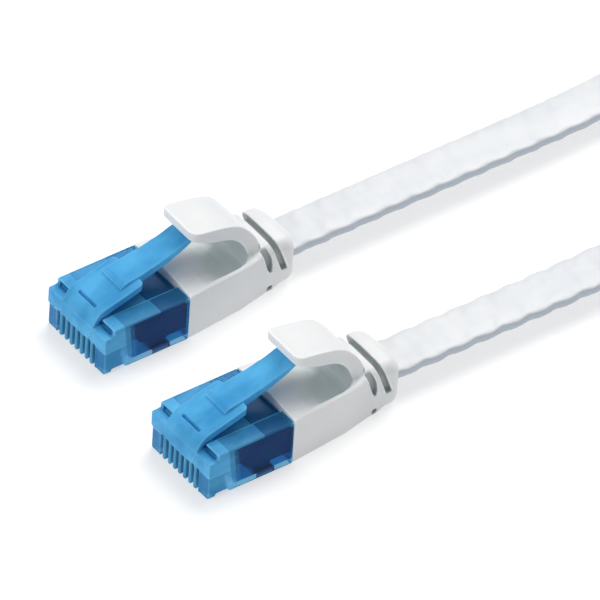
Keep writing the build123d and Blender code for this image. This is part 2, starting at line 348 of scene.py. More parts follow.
def mark_ridges(obj, low, high):
    """A 0 to 1 mask for a painted highlight, high along the outward edges of an even skin."""
    mesh = obj.data
    count = len(mesh.vertices)
    place, normal = np.zeros(count * 3, np.float32), np.zeros(count * 3, np.float32)
    mesh.vertices.foreach_get("co", place)
    mesh.vertices.foreach_get("normal", normal)
    ends = np.zeros(len(mesh.edges) * 2, np.int32)
    mesh.edges.foreach_get("vertices", ends)
    place, normal, ends = place.reshape(-1, 3), normal.reshape(-1, 3), ends.reshape(-1, 2)
    joined = np.bincount(ends.ravel(), minlength=count).clip(1)

    def around(values):
        total = np.zeros_like(values)
        np.add.at(total, ends[:, 0], values[ends[:, 1]])
        np.add.at(total, ends[:, 1], values[ends[:, 0]])
        return total / (joined[:, None] if values.ndim == 2 else joined)

    step = float(np.linalg.norm(place[ends[:, 0]] - place[ends[:, 1]], axis=1).mean())
    bulge = ((place - around(place)) * normal).sum(axis=1) / step
    for _ in range(2):
        bulge = 0.5 * (bulge + around(bulge))
    share = ((bulge - low) / (high - low)).clip(0, 1)
    layer = mesh.attributes.new("ridge", "FLOAT", "POINT")
    layer.data.foreach_set("value", share * share * (3 - 2 * share))


def joined_by(obj, other, operation):
    """obj united with other, or cut by it. other is used up."""
    modifier = obj.modifiers.new("boolean", "BOOLEAN")
    modifier.operation, modifier.object, modifier.solver = operation, other, "EXACT"
    finished(obj)
    bpy.data.objects.remove(other)
    return obj


def in_row(plug, points):
    """Points in a plug's own millimetres (X across, Y from the nose, Z up), as metres in the row frame."""
    lane, nose = PLUGS[plug]
    return [(lane + x * MM, nose + y * MM, z * MM) for x, y, z in points]


def prism(plug, name, outline, reach):
    """A solid with a closed side outline of (Y, Z) points. reach(y) gives its two limits across."""
    n = len(outline)
    verts = [(reach(y)[side], y, z) for side in (0, 1) for y, z in outline]
    faces = [tuple(range(n)), tuple(reversed(range(n, 2 * n)))]
    faces += [(k, k + n, (k + 1) % n + n, (k + 1) % n) for k in range(n)]
    obj = new_object(name, in_row(plug, verts), faces, smooth=False)
    clean_normals(obj)
    return obj


def box(plug, name, half, y, z):
    """A box across the plug's middle, between two limits in Y and two in Z."""
    outline = [(y[0], z[1]), (y[1], z[1]), (y[1], z[0]), (y[0], z[0])]
    return prism(plug, name, outline, lambda at: (-half, half))


def cut_outline(plug, obj, outline, x):
    """Cuts a side outline away on both sides of the plug, between two distances from its middle."""
    for side in (-1, 1):
        limits = sorted((side * x[0], side * x[1]))
        joined_by(obj, prism(plug, "cut", outline, lambda at: limits), "DIFFERENCE")


def through(points, count):
    """A smooth curve through side points, as count points (Catmull-Rom)."""
    p = np.array(points, float)
    p = np.vstack([2 * p[0] - p[1], p, 2 * p[-1] - p[-2]])
    spans = len(points) - 1
    out = []
    for u in np.linspace(0, spans, count):
        k = min(int(u), spans - 1)
        t = u - k
        a, b, c, d = p[k : k + 4]
        square, cube = 2 * a - 5 * b + 4 * c - d, 3 * b - a - 3 * c + d
        out.append(0.5 * (2 * b + (c - a) * t + square * t * t + cube * t**3))
    return np.array(out)


def cad_copy(node, name):
    """A new mesh with a CAD node's shape, its flat faces whole again so that its edges can be rounded."""
    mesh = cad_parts[node].data.copy()
    mesh.materials.clear()
    obj = bpy.data.objects.new(name, mesh)
    bpy.context.scene.collection.objects.link(obj)
    bm = bmesh.new()
    bm.from_mesh(mesh)
    bmesh.ops.remove_doubles(bm, verts=bm.verts, dist=1e-6)
    bmesh.ops.dissolve_limit(bm, angle_limit=math.radians(1.5), verts=bm.verts, edges=bm.edges)
    bm.to_mesh(mesh)
    bm.free()
    for layer in [a.name for a in mesh.attributes if a.name.startswith("custom_normal")]:
        mesh.attributes.remove(mesh.attributes[layer])
    return obj


# ---------------------------------------------------------------- materials

class Nodes:
    """A material's nodes, with short calls for the ones used here."""

    def __init__(self, name):
        self.material = bpy.data.materials.new(name)
        self.material.use_nodes = True
        self.tree = self.material.node_tree
        self.shader = self.tree.nodes["Principled BSDF"]

    def add(self, kind, **values):
        node = self.tree.nodes.new("ShaderNode" + kind)
        for key, value in values.items():
            setattr(node, key, value)
        return node

    def link(self, out, into):
        self.tree.links.new(out, into)

    def set(self, **values):
        for key, value in values.items():
            self.shader.inputs[key.replace("_", " ")].default_value = value

    def place(self):
        return self.add("TexCoord").outputs["Object"]

    def noise(self, scale, detail=3.0, rough=0.5, stretch=None):
        texture = self.add("TexNoise")
        texture.inputs["Scale"].default_value = scale
        texture.inputs["Detail"].default_value = detail
        texture.inputs["Roughness"].default_value = rough
        place = self.place()
        if stretch:
            mapping = self.add("Mapping")
            mapping.inputs["Scale"].default_value = stretch
            self.link(place, mapping.inputs["Vector"])
            place = mapping.outputs["Vector"]
        self.link(place, texture.inputs["Vector"])
        return texture.outputs["Fac"]

    def ramp(self, value, stops):
        ramp = self.add("ValToRGB")
        elements = ramp.color_ramp.elements
        while len(elements) < len(stops):
            elements.new(0.5)
        for element, (at, colour) in zip(elements, stops):
            element.position = at
            element.color = (*colour, 1)
        self.link(value, ramp.inputs["Fac"])
        return ramp.outputs["Color"]

    def mix(self, share, a, b):
        mix = self.add("Mix", data_type="RGBA")
        for value, socket in ((share, mix.inputs["Factor"]), (a, mix.inputs[6]), (b, mix.inputs[7])):
            if isinstance(value, tuple):
                socket.default_value = (*value, 1)
            else:
                self.link(value, socket)
        return mix.outputs[2]

    def span(self, value, low, high):
        """The value from 0 to 1, as a value from low to high."""
        span = self.add("MapRange")
        span.inputs["To Min"].default_value, span.inputs["To Max"].default_value = low, high
        self.link(value, span.inputs["Value"])
        return span.outputs["Result"]

    def attribute(self, name):
        return self.add("Attribute", attribute_name=name).outputs["Fac"]

    def colour(self, out):
        self.link(out, self.shader.inputs["Base Color"])

    def roughness(self, out):
        self.link(out, self.shader.inputs["Roughness"])

    def bump(self, height, distance, strength=1.0):
        bump = self.add("Bump")
        bump.inputs["Distance"].default_value = distance
        bump.inputs["Strength"].default_value = strength
        self.link(height, bump.inputs["Height"])
        self.link(bump.outputs["Normal"], self.shader.inputs["Normal"])


# The one blue plastic in five finishes, from the nose to the rear and last for the foot of the side wall,
# where its
# dark blue is painted shade: how clear each is, and its darker and lighter blue.
BLUE_FINISHES = {
    "cloudy": (0.30, (0.070, 0.390, 0.740), (0.135, 0.560, 0.930)),
    "hazy": (0.52, (0.055, 0.350, 0.700), (0.120, 0.520, 0.880)),
    "thin": (0.78, (0.050, 0.330, 0.690), (0.100, 0.460, 0.820)),
    "clear": (0.95, (0.050, 0.330, 0.700), (0.080, 0.410, 0.780)),
    "deep": (0.30, (0.010, 0.026, 0.120), (0.016, 0.036, 0.160)),
}
# painted light on the blue plastic: a lighter blue as a painted highlight on its ridges, a dark blue as
# painted shade
HIGHLIGHT_BLUE, SHADE_BLUE = (0.26, 0.72, 0.98), (0.018, 0.165, 0.400)


def blue_plastic(finish):
    clearness, dark, light = BLUE_FINISHES[finish]
    m = Nodes(finish + "_blue_plastic")
    body = m.ramp(m.noise(330, 3.0, stretch=(1, 0.5, 1)), [(0.34, dark), (0.66, light)])
    # painted highlight: a lighter blue along the ridges
    body = m.mix(m.span(m.attribute("ridge"), 0.0, 0.75), body, HIGHLIGHT_BLUE)
    # painted shade: a dark blue before the contacts, in the notches and at the foot of the insert
    m.colour(m.mix(m.span(m.attribute("depth"), 0.0, 0.75), body, SHADE_BLUE))
    m.roughness(m.span(m.noise(900, 3.0), 0.16, 0.28))
    m.bump(m.noise(420, 2.0, stretch=(1, 0.35, 1)), 0.00003, 0.4)
    m.set(Transmission_Weight=clearness, IOR=1.17, Specular_Tint=(0.45, 0.75, 1.0, 1.0))
    return m.material


def navy_plastic():
    m = Nodes("navy_plastic")
    m.colour(m.ramp(m.noise(300), [(0.3, (0.008, 0.016, 0.140)), (0.7, (0.014, 0.028, 0.190))]))
    m.roughness(m.span(m.noise(1500), 0.45, 0.6))
    m.bump(m.noise(2500), 0.00001, 0.6)
    m.set(Specular_IOR_Level=0.2)
    return m.material


def guide_plastic():
    m = Nodes("load_bar_plastic")
    m.colour(m.ramp(m.noise(400), [(0.3, (0.30, 0.47, 0.66)), (0.7, (0.38, 0.55, 0.72))]))
    m.roughness(m.span(m.noise(1500), 0.25, 0.45))
    m.bump(m.noise(2500), 0.00001, 0.6)
    return m.material


def boot_plastic():
    """White, with a painted highlight along its ridges and painted shade in the scoop and in the slots."""
    m = Nodes("boot_white")
    skin = m.ramp(m.noise(180, 2.0), [(0.3, (0.720, 0.735, 0.750)), (0.7, (0.765, 0.770, 0.770))])
    # painted highlight: near white along the boot's ridges
    skin = m.mix(m.span(m.attribute("ridge"), 0.0, 0.7), skin, (0.93, 0.94, 0.95))
    # painted shade: grey-green inside the scoop and under the guard
    skin = m.mix(m.attribute("hollow"), skin, (0.64, 0.69, 0.68))
    # painted shade: grey inside the slots
    m.colour(m.mix(m.attribute("slot"), skin, (0.46, 0.49, 0.49)))
    m.roughness(m.span(m.noise(1800, 4.0), 0.36, 0.56))
    m.bump(m.noise(5200, 3.0), 0.000012, 0.5)
    m.set(Subsurface_Weight=0.12, Subsurface_Scale=0.0008)
    return m.material


def cable_jacket():
    """White, with painted shade that makes the cable's narrow sides darker and bluer."""
    m = Nodes("cable_jacket")
    cloud = m.noise(330, 3.0, stretch=(1, 0.5, 1))
    top = m.ramp(cloud, [(0.3, (0.635, 0.655, 0.685)), (0.7, (0.705, 0.715, 0.730))])
    # painted shade: the narrow sides are darker and bluer than the top
    m.colour(m.mix(m.attribute("edge"), top, (0.490, 0.545, 0.610)))
    m.roughness(m.span(m.noise(2200, 4.0), 0.34, 0.52))
    m.bump(m.noise(4200, 3.0), 0.00001, 0.5)
    m.set(Subsurface_Weight=0.1, Subsurface_Scale=0.0006)
    return m.material


def gold_plating():
    m = Nodes("gold_plating")
    m.colour(m.ramp(m.noise(1800), [(0.3, (0.83, 0.60, 0.20)), (0.7, (0.93, 0.72, 0.32))]))
    m.roughness(m.span(m.noise(3500), 0.16, 0.34))
    m.bump(m.noise(6000, stretch=(1, 0.2, 1)), 0.000006, 0.5)
    m.set(Metallic=1.0)
    return m.material


WIRE_COLOURS = {
    "orange": (0.82, 0.24, 0.03),
    "green": (0.03, 0.32, 0.09),
    "blue": (0.03, 0.10, 0.52),
    "brown": (0.16, 0.07, 0.03),
}


def wire_insulation(name):
    """A plain colour, or white with that colour as a stripe that winds round the wire."""
    m = Nodes("insulation_" + name)
    paint = WIRE_COLOURS[name.split("_")[-1]]
    worn = m.ramp(m.noise(900), [(0.3, tuple(0.88 * c for c in paint)), (0.7, paint)])
    if name.startswith("white"):
        stripe = m.add("TexWave", wave_type="BANDS", bands_direction="DIAGONAL")
        stripe.inputs["Scale"].default_value = 150
        m.link(m.place(), stripe.inputs["Vector"])
        mask = m.ramp(stripe.outputs["Fac"], [(0.66, (0, 0, 0)), (0.74, (1, 1, 1))])
        worn = m.mix(mask, (0.84, 0.84, 0.82), worn)
    m.colour(worn)
    m.roughness(m.span(m.noise(3000), 0.35, 0.5))
    m.bump(m.noise(5000), 0.00001, 0.5)
    return m.material


def tie_plastic():
    m = Nodes("twist_tie_plastic")
    m.colour(m.ramp(m.noise(500), [(0.3, (0.78, 0.79, 0.80)), (0.7, (0.86, 0.86, 0.86))]))
    m.roughness(m.span(m.noise(1600), 0.3, 0.5))
    m.bump(m.noise(1500, stretch=(1, 3, 1)), 0.00004, 0.7)
    return m.material


# ---------------------------------------------------------------- boot and latch guard

# How each skin is made even, as voxel size in millimetres and rounds of smoothing, and the bulge at which its
# ridges, and the painted highlight along them, begin and are full.
SKINS = {"boot": (0.10, 6), "lever": (0.09, 4), "housing": (0.11, 4)}
RIDGES = {"boot": (0.02, 0.12), "lever": (0.03, 0.15), "housing": (0.02, 0.12)}

# Tables of (Y, value) and side outlines of (Y, Z), in a plug's own millimetres.
BOOT_START, BOOT_END, BOOT_STEPS = 12.3, 29.6, 120
BOOT_HALF = [(12.3, 5.84), (20.6, 5.05), (22.6, 4.62), (24.6, 4.22), (25.8, 4.12), (29.6, 4.1)]
BOOT_TOP = [(12.3, 7.2), (20.0, 7.05), (22.6, 7.0), (24.6, 7.1), (26.0, 7.05), (28.0, 6.9), (29.6, 6.8)]
BOOT_SHOULDER = [(12.3, 6.4), (20.6, 6.3), (22.6, 6.15), (24.4, 5.6), (25.6, 5.3), (29.6, 5.2)]
BOOT_REACH = [(12.3, 0.5), (21.0, 0.7), (24.6, 1.4), (29.6, 1.65)]
BOOT_FLOOR = [(12.3, 0.03), (26.0, 0.05), (27.0, 0.25), (29.6, 0.3)]
BOOT_LOW_ROUND = [(12.3, 0.3), (25.8, 0.35), (27.0, 0.9), (29.6, 0.95)]
REAR_ROUND = 1.8
CROWN_SHARE, CROWN_LEAST, CROWN_FADE = 0.55, 0.15, (22.0, 25.5)
SCOOP_DEPTH = [
    (13.6, 0.0), (15.2, 0.2), (16.8, 0.75), (18.4, 1.5), (20.0, 2.0), (21.6, 2.1), (22.3, 1.9), (22.6, 0.0),
]
SCOOP_RIM = [(13.6, 0.5), (20.5, 0.5), (21.6, 0.7), (22.5, 1.3)]
SCOOP_EDGE = 0.75  # how far in from its rim the scoop reaches its depth
REAR_SLOT = [
    (27.95, 2.6), (27.6, 3.6), (27.0, 5.2), (26.25, 7.6),
    (25.35, 7.6), (26.15, 5.2), (26.75, 3.6), (27.1, 2.6),
]
FRONT_SLOT = [
    (25.35, 3.0), (25.62, 3.1), (25.72, 3.8), (25.55, 5.0), (25.1, 6.2), (24.6, 7.3), (24.25, 7.9),
    (24.05, 7.3), (24.1, 6.2), (24.6, 4.75), (25.0, 3.6),
]
LOW_SLOT = [(25.0, 0.2), (25.8, 0.2), (25.8, 0.95), (25.0, 0.95)]
SIDE_SLOT_X = (3.35, 5.0)  # the front and low slots are cut between these, on both sides
SLOT_DEPTH = 0.8
OUTSIDE = 6.5  # further from the plug's middle than any of its sides
COLLAR_Y, COLLAR_HALF, COLLAR_MIDDLE, COLLAR_TALL, COLLAR_CORNER = (23.5, 29.0), 4.1, 3.3, 3.75, 0.45


def boot_outline(y):
    """The boot's section at y, as half an outline of (x, z) from the bottom's middle to the top's middle."""
    tables = (BOOT_HALF, BOOT_TOP, BOOT_SHOULDER, BOOT_FLOOR, BOOT_LOW_ROUND, BOOT_REACH)
    half, top, shoulder, floor, low, reach = (along(t, y) for t in tables)
    into_round = max(y - BOOT_END + REAR_ROUND, 0)
    inset = REAR_ROUND - math.sqrt(max(REAR_ROUND**2 - into_round**2, 0))
    half, top, floor, shoulder = half - inset, top - inset, floor + 0.8 * inset, shoulder - 0.6 * inset
    points = [((half - low) * k / 4, floor) for k in range(5)]
    for k in range(1, 6):  # the round at the foot
        a = math.radians(90 * k / 5)
        points.append((half - low + low * math.sin(a), floor + low - low * math.cos(a)))
    for k in range(1, 11):  # the side
        points.append((half, floor + low + (shoulder - floor - low) * k / 10))
    crown = CROWN_SHARE * (top - shoulder) * (1 - smoothstep(y, *CROWN_FADE)) + CROWN_LEAST
    for k in range(1, 9):  # the shoulder
        a = math.radians(90 * k / 8)
        points.append((half - reach + reach * math.cos(a), shoulder + (top - crown - shoulder) * math.sin(a)))
    for k in range(1, 15):  # the crowned top
        u = 1 - k / 14
        points.append(((half - reach) * u, top - crown * u * u))
    return points


def scoop_depth(x, y, half):
    """How far the scoop is pressed into the top of the boot, which is 2 * half wide at y."""
    if not SCOOP_DEPTH[0][0] < y < SCOOP_DEPTH[-1][0]:
        return 0.0
    width = half - along(SCOOP_RIM, y)
    return along(SCOOP_DEPTH, y) * (1 - smoothstep(abs(x), width - SCOOP_EDGE, width))


def boot_body(plug):
    """The boot as one loft from the plug to its rear end, with the scoop pressed into its top."""
    rings = []
    for y in np.arange(BOOT_START, BOOT_END + 1e-6, (BOOT_END - BOOT_START) / BOOT_STEPS):
        half = along(BOOT_HALF, y)
        top_from = along(BOOT_SHOULDER, y)
        half_ring = []
        for x, z in boot_outline(y):
            sunk = scoop_depth(x, y, half) if z >= top_from - 0.01 else 0.0
            half_ring.append((x, y, z - sunk))
        rings.append(half_ring + [(-x, y, z) for x, y, z in reversed(half_ring[1:-1])])
    verts = [v for ring in rings for v in ring]
    obj = new_object("boot_body_" + plug, in_row(plug, verts), loft_faces(len(rings), len(rings[0])))
    clean_normals(obj)
    return obj


def collar_core(plug):
    """The part of the collar that the rear slot leaves whole."""
    verts, n = [], 24
    for y in COLLAR_Y:
        for k in range(n):
            a = 2 * math.pi * k / n
            x = (COLLAR_HALF - SLOT_DEPTH) * boxy(math.cos(a), COLLAR_CORNER)
            z = COLLAR_MIDDLE + (COLLAR_TALL - SLOT_DEPTH) * boxy(math.sin(a), COLLAR_CORNER)
            verts.append((x, y, z))
    faces = [(k, (k + 1) % n, (k + 1) % n + n, k + n) for k in range(n)]
    faces += [tuple(range(n)), tuple(reversed(range(n, 2 * n)))]
    obj = new_object("collar_core", in_row(plug, verts), faces, smooth=False)
    clean_normals(obj)
    return obj


def cut_slots(plug, boot):
    """The slot round the collar, and the two in front of it on each side."""
    rear = prism(plug, "rear_slot", REAR_SLOT, lambda at: (-OUTSIDE, OUTSIDE))
    joined_by(boot, joined_by(rear, collar_core(plug), "DIFFERENCE"), "DIFFERENCE")
    cut_outline(plug, boot, FRONT_SLOT, SIDE_SLOT_X)
    cut_outline(plug, boot, LOW_SLOT, SIDE_SLOT_X)


GUARD_OUTER = [
    (14.15, 13.5), (15.6, 13.15), (18.06, 12.7), (20.28, 12.07), (21.8, 11.1), (23.3, 9.3),
    (24.1, 7.7), (24.5, 6.3), (24.6, 5.2),
]
GUARD_INNER = [
    (14.1, 12.25), (15.3, 11.75), (16.5, 11.2), (17.6, 10.8), (18.9, 10.45), (20.1, 9.95),
    (21.2, 9.05), (22.0, 7.85), (22.45, 6.4), (22.55, 5.0),
]
GUARD_HALF, GUARD_CORNER = 3.3, 1.0
GUARD_FLARE, GUARD_FLARE_FROM = 0.45, (0.80, 0.95)  # how much wider its root is, and from which share of it
STRIP_SAMPLES = 24


def strip(plug, name, outer, inner, half_at):
    """A plate between two side curves of (Y, Z) points, as rings along them.
    half_at(share, run) is its half width, by the share of the curve passed and the distance from its start."""
    verts, count, across = [], len(outer), STRIP_SAMPLES // 2
    for k in range(count):
        half = half_at(k / (count - 1), float(np.linalg.norm(outer[k] - outer[0])))
        for j in range(STRIP_SAMPLES):
            u = -1 + 2 * (j % across) / (across - 1)
            line, x = (outer, half * u) if j < across else (inner, -half * u)
            verts.append((x, line[k][0], line[k][1]))
    obj = new_object(name + plug, in_row(plug, verts), loft_faces(count, STRIP_SAMPLES))
    clean_normals(obj)
    return obj


def corner_cut(run, radius):
    """How much narrower a plate with round corners is, at a run from its end."""
    return radius - math.sqrt(radius**2 - (radius - run) ** 2) if run < radius else 0.0


def guard_body(plug):
    """The curved guard from its free edge to its root, which is a little wider."""
    def half_at(share, run):
        return GUARD_HALF - corner_cut(run, GUARD_CORNER) + GUARD_FLARE * smoothstep(share, *GUARD_FLARE_FROM)

    return strip(plug, "guard_body_", through(GUARD_OUTER, 70), through(GUARD_INNER, 70), half_at)


SCOOP_SHADE_Y, SCOOP_SHADE_TOP, SCOOP_SHADE_HALF = (14.0, 23.2), 10.6, 4.9  # the box that the scoop's painted shade stays in
SCOOP_SHADE_START, SCOOP_SHADE_SLANT = (16.6, 19.4), 0.45  # where the painted shade begins, and how much sooner at the sides
SCOOP_SHADE_RIM = (0.95, 0.55)  # it fades out between these distances from the boot's side
DECK_TOP = 6.9  # the boot itself is below this height, and the guard is above it
# where the painted shade in the slots lies, and how it fades in from the slots' edges
COLLAR_SLOTS_Y, SIDE_SLOTS_FROM = (24.0, 28.2), 3.2
SLOT_MARGIN, SLOT_FADE = 0.15, (0.12, 0.35)


def grown(outline, margin):
    """A closed outline with its points moved outwards from its middle."""
    middle = np.mean(outline, axis=0)
    points = []
    for point in outline:
        out = np.array(point) - middle
        points.append(tuple(middle + out * (1 + margin / np.linalg.norm(out))))
    return points


def is_inside(y, z, outline):
    """Whether a side point is inside a closed outline."""
    inside = False
    for (y1, z1), (y2, z2) in zip(outline, outline[1:] + outline[:1]):
        if (z1 > z) != (z2 > z) and y < y1 + (z - z1) * (y2 - y1) / (z2 - z1):
            inside = not inside
    return inside


def scoop_shade(x, y, z, faces_up):
    """The painted shade, 0 to 1, high inside the scoop and under the guard. x is the distance from the middle.
    """
    if not (SCOOP_SHADE_Y[0] < y < SCOOP_SHADE_Y[1] and z < SCOOP_SHADE_TOP and x < SCOOP_SHADE_HALF):
        return 0.0
    if x > GUARD_HALF - 0.1 and z > 7.0:  # the guard's own sides
        return 0.0
    half = along(BOOT_HALF, y)
    under = smoothstep(y + SCOOP_SHADE_SLANT * x, *SCOOP_SHADE_START)
    inside = 1 - smoothstep(x, half - SCOOP_SHADE_RIM[0], half - SCOOP_SHADE_RIM[1])
    return under * inside * (1.0 if z < DECK_TOP else 1 - smoothstep(faces_up, -0.2, 0.1))


def paint_boot_shade(obj, plug):
    """Two 0 to 1 masks of painted shade: one is high inside the scoop and the other inside the slots."""
    lane, nose = PLUGS[plug]
    rear, *side_slots = [grown(outline, SLOT_MARGIN) for outline in (REAR_SLOT, FRONT_SLOT, LOW_SLOT)]
    outlines = {}
    painted_scoop_shades, painted_slot_shades = [], []
    for vertex in obj.data.vertices:
        x, y, z = abs(vertex.co.x - lane) / MM, (vertex.co.y - nose) / MM, vertex.co.z / MM
        painted_scoop_shades.append(scoop_shade(x, y, z, vertex.normal.z))
        # slot: painted shade inside the slots, darker further in from their edges
        slot = 0.0
        if COLLAR_SLOTS_Y[0] < y < COLLAR_SLOTS_Y[1]:
            in_side_slot = x > SIDE_SLOTS_FROM and any(is_inside(y, z, outline) for outline in side_slots)
            if in_side_slot or is_inside(y, z, rear):
                station = round(y, 1)
                if station not in outlines:
                    outlines[station] = boot_outline(station)
                slot = smoothstep(min(math.hypot(x - p[0], z - p[1]) for p in outlines[station]), *SLOT_FADE)
        painted_slot_shades.append(slot)
    obj.data.attributes.new("hollow", "FLOAT", "POINT").data.foreach_set("value", painted_scoop_shades)
    obj.data.attributes.new("slot", "FLOAT", "POINT").data.foreach_set("value", painted_slot_shades)


def make_boot(plug, material):
    """Boot and guard are one moulding: the two bodies are fused, their edges eased, and the guard's arm
    bends out of the boot when it is pressed."""
    boot = boot_body(plug)
    boot.name = "boot_" + plug
    joined_by(boot, guard_body(plug), "UNION")
    cut_slots(plug, boot)
    eased(boot, *SKINS["boot"])
    mark_ridges(boot, *RIDGES["boot"])
    paint_boot_shade(boot, plug)
    use(boot, material)
    lane, nose = PLUGS[plug]
    bend = nose + 0.0236
    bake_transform(boot, "root", "guard_" + plug, start=(lane, bend, 0.0073), end=(lane, bend, 0.0096))
    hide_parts("boot_shell_" + plug, "latch_guard_" + plug)


# ---------------------------------------------------------------- plug

LEVER_TOP = [
    (-0.16, 3.42), (-0.17, 4.0), (-0.10, 4.8), (0.14, 5.6), (0.54, 6.38), (1.04, 6.96),
    (1.62, 7.34), (2.8, 7.72), (5.1, 8.38), (6.9, 8.9), (7.35, 9.0), (7.5, 8.95),
]
LEVER_BOTTOM = [
    (0.35, 3.42), (0.40, 4.0), (0.50, 4.7), (0.74, 5.25), (1.12, 5.86), (1.6, 6.22),
    (2.2, 6.42), (2.8, 6.62), (5.1, 7.3), (6.9, 7.86), (7.3, 7.98), (7.5, 8.1),
]
LEVER_HALF, LEVER_FOOT_CORNER, LEVER_REAR_CORNER = 3.05, 1.5, 0.5
TAIL_TOP = [
    (5.6, 9.0), (6.4, 9.14), (7.4, 9.32), (9.4, 9.72),
    (11.4, 10.22), (13.2, 10.8), (14.5, 11.35), (15.05, 11.55),
]
TAIL_BOTTOM = [
    (5.6, 7.6), (6.4, 7.8), (7.4, 8.1), (9.4, 8.6),
    (11.4, 9.14), (13.2, 9.8), (14.5, 10.4), (15.2, 10.75),
]
TAIL_HALF, TAIL_TAPER, TAIL_TAPER_FROM = 1.98, 0.038, 7.4
PADS, PAD_START, PAD_END, PAD_BOTTOM, PAD_TOP = 3, 4.85, 6.4, 8.0, 8.58  # the steps in front of the tail
PAD_GOING, PAD_RISE = 0.3, 0.19
SLIT_HALF, SLIT_Y, SLIT_Z = 1.73, (1.32, 1.68), (6.7, 8.0)


def lever_root(plug):
    """The wide plate that rolls up from the nose and back over it."""
    top, bottom = through(LEVER_TOP, 90), through(LEVER_BOTTOM, 90)
    length = float(np.linalg.norm(top[-1] - top[0]))

    def half_at(share, run):
        return LEVER_HALF - corner_cut(run, LEVER_FOOT_CORNER) - corner_cut(length - run, LEVER_REAR_CORNER)

    return strip(plug, "lever_", top, bottom, half_at)


def lever_tail(plug):
    """The narrow tail that rises under the guard."""
    def reach(y):
        half = TAIL_HALF - TAIL_TAPER * max(y - TAIL_TAPER_FROM, 0)
        return (-half, half)

    outline = list(through(TAIL_TOP, 30)) + list(reversed(through(TAIL_BOTTOM, 30)))
    return prism(plug, "tail_" + plug, outline, reach)


def make_lever(plug, material):
    """The lever as one skin that bends out of the plug's nose when it is pressed."""
    lever = lever_root(plug)
    joined_by(lever, lever_tail(plug), "UNION")
    for k in range(PADS):
        y, z = (PAD_START + PAD_GOING * k, PAD_END), (PAD_BOTTOM, PAD_TOP + PAD_RISE * k)
        joined_by(lever, box(plug, "pad", TAIL_HALF, y, z), "UNION")
    joined_by(lever, box(plug, "slit", SLIT_HALF, SLIT_Y, SLIT_Z), "DIFFERENCE")
    eased(lever, *SKINS["lever"])
    mark_ridges(lever, *RIDGES["lever"])
    use(lever, material)
    lane, nose = PLUGS[plug]
    front, rear = nose + 0.0010, nose + 0.0032
    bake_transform(lever, "root", "lever_" + plug, start=(lane, front, 0.0070), end=(lane, rear, 0.0070))
    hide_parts("latch_lever_" + plug)


NOSE_TOP, NOSE_STEP_Y, NOSE_HALF = 5.5, 1.3, 5.84
PILLAR_INNER_X, PILLAR_TOP, PILLAR_REAR_Y, PILLAR_INSET = 3.95, 3.35, 3.2, 0.13
NOTCH_X, NOTCH_Y, NOTCH_Z = (3.0, 5.3), (1.2, 1.8), (5.3, 6.15)
FIN_FRONT, FIN_HALF, FIN_ROUNDS = 0.9, 5.9, 9  # the nose's front that is rounded more
BEYOND = 1.0  # how far a cut starts outside the housing
# Where each finish gives way to the next clearer one, on the side walls and on the rails' tops.
FINISH_ENDS_SIDE, FINISH_ENDS_TOP, FINISH_LEAN = (3.2, 3.9, 4.5), (3.2, 8.4, 12.2), 0.12
FOOT_Y, FOOT_TOP = (6.7, 9.3), 1.2  # the side wall in front of the insert's foot, which gets the dark finish as painted shade
TOP_RISE = 0.3  # a face whose normal rises more than this is on top
RIDGE_SHARE, DARK_SHARE = 0.4, 0.3  # a face takes the painted highlight of a ridge above the one, unless its painted shade is above the other
# Where the shade is painted on the plastic: the stretches in which each of these shades rises, and falls
# again.
LOW_FALL = (PILLAR_TOP - 0.35, PILLAR_TOP + 0.1)
PILLAR_RISE, PILLAR_FALL = (3.7, 4.1), (5.5, 5.7)
NOSE_FALL = (2.6, 3.2)
NOTCH_RISE, NOTCH_FALL, NOTCH_FRONT, NOTCH_END, NOTCH_SIDE = (5.25, 5.5), (6.05, 6.3), (1.25, 1.4), 2.2, 5.4
UNDER_RISE, UNDER_FALL, UNDER_TOP = (6.6, 7.3), (9.2, 9.4), (0.4, 0.8)


def cut_box(plug, obj, x, y, z):
    """Cuts a box away on both sides of the plug."""
    cut_outline(plug, obj, [(y[0], z[0]), (y[1], z[0]), (y[1], z[1]), (y[0], z[1])], x)


def shape_nose(plug, housing):
    """The nose's fuller top, its set-back corner pillars and the notch in front of each rail."""
    joined_by(housing, box(plug, "nose_top", NOSE_HALF, (0.0, NOSE_STEP_Y + 0.2), (4.9, NOSE_TOP)), "UNION")
    cut_box(plug, housing, NOTCH_X, NOTCH_Y, NOTCH_Z)
    foot = (-BEYOND, PILLAR_TOP)
    cut_box(plug, housing, (NOSE_HALF - PILLAR_INSET, OUTSIDE), (-BEYOND, PILLAR_REAR_Y), foot)
    cut_box(plug, housing, (PILLAR_INNER_X, OUTSIDE), (-BEYOND, PILLAR_INSET), foot)


def round_nose(plug, housing):
    """Rounds the comb's fins and the nose's front edges more than the rest."""
    lane, nose = PLUGS[plug]
    group = housing.vertex_groups.new(name="nose")
    front, side = nose + FIN_FRONT * MM, FIN_HALF * MM
    chosen = [v.index for v in housing.data.vertices if v.co.y < front and abs(v.co.x - lane) < side]
    group.add(chosen, 1.0, "REPLACE")
    add_smooth(housing, FIN_ROUNDS).vertex_group = group.name
    finished(housing)
    housing.vertex_groups.clear()
    set_smooth(housing)


